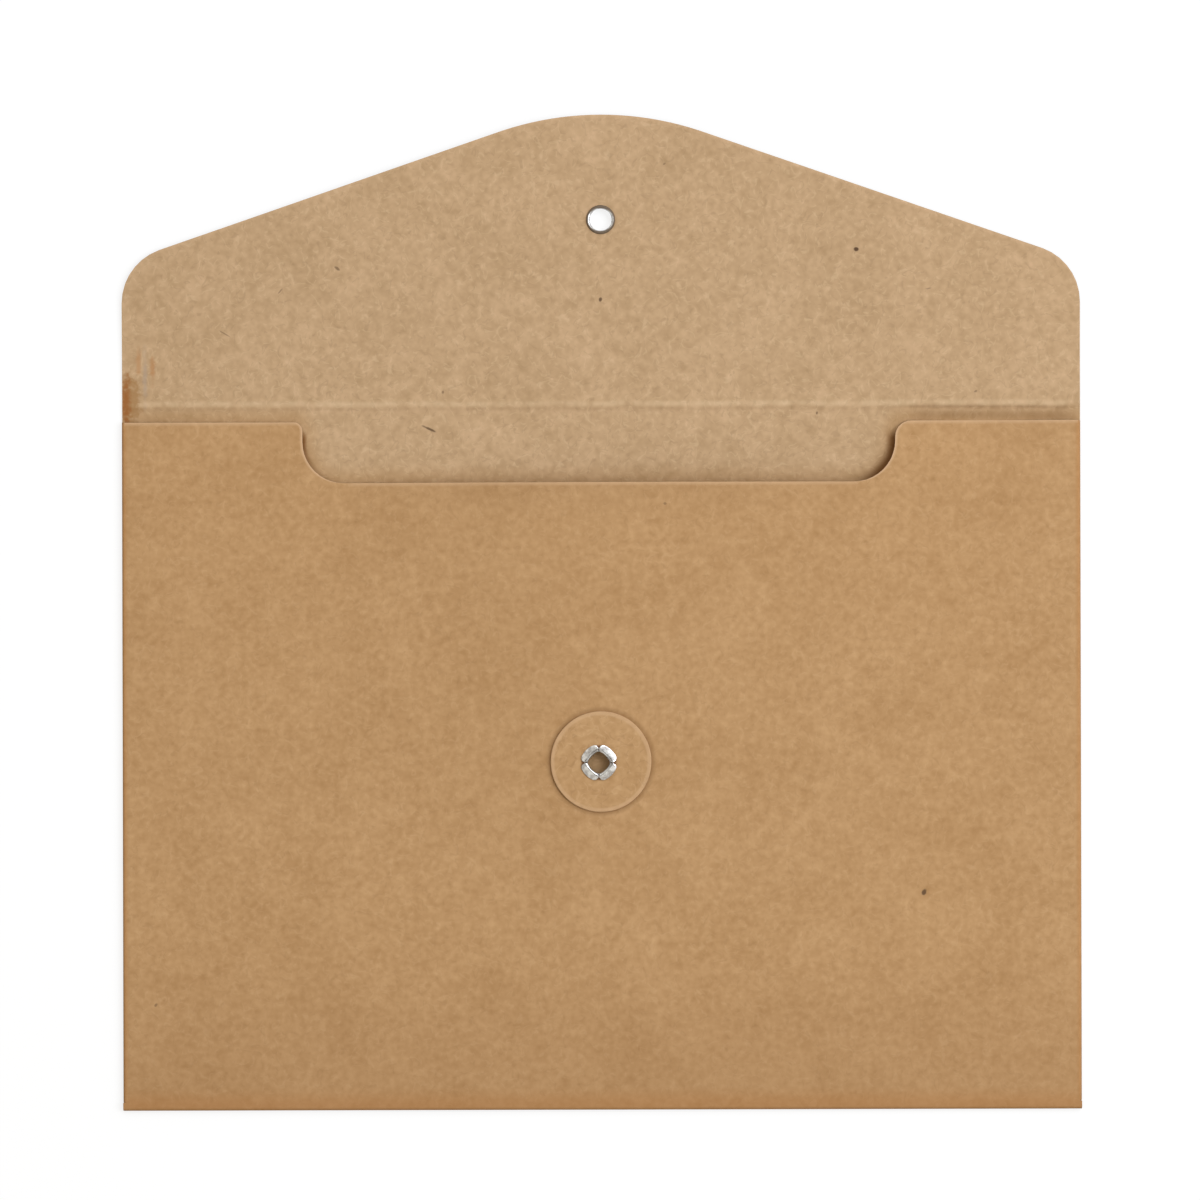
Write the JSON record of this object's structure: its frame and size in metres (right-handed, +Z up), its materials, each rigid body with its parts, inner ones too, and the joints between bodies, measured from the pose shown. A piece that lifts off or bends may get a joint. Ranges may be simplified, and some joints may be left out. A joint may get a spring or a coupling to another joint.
{
  "type": "paper envelope",
  "caption": "Open kraft envelope with a pointed flap, a thumb-notched pocket and riveted paper buttons that a string would wind round.",
  "frame": {"origin": "middle of the whole outline, on the surface that the envelope lies on", "axes": "+X across the pocket, +Y from the bottom fold to the flap's tip, +Z up, out of the pocket's front"},
  "size_m": [0.22, 0.2283, 0.0056],
  "materials": {
    "kraft_card": "uncoated brown kraft card with fine fibres, matt",
    "button_card": "die-cut brown board, matt",
    "eyelet_metal": "nickel plate, bright, with a brushed rim"
  },
  "bodies": {
    "root": {"folded_sheet": "kraft_card", "pocket_button": "button_card", "pocket_eyelet": "eyelet_metal", "flap_button": "button_card", "flap_eyelet": "eyelet_metal"}
  },
  "joints": []
}
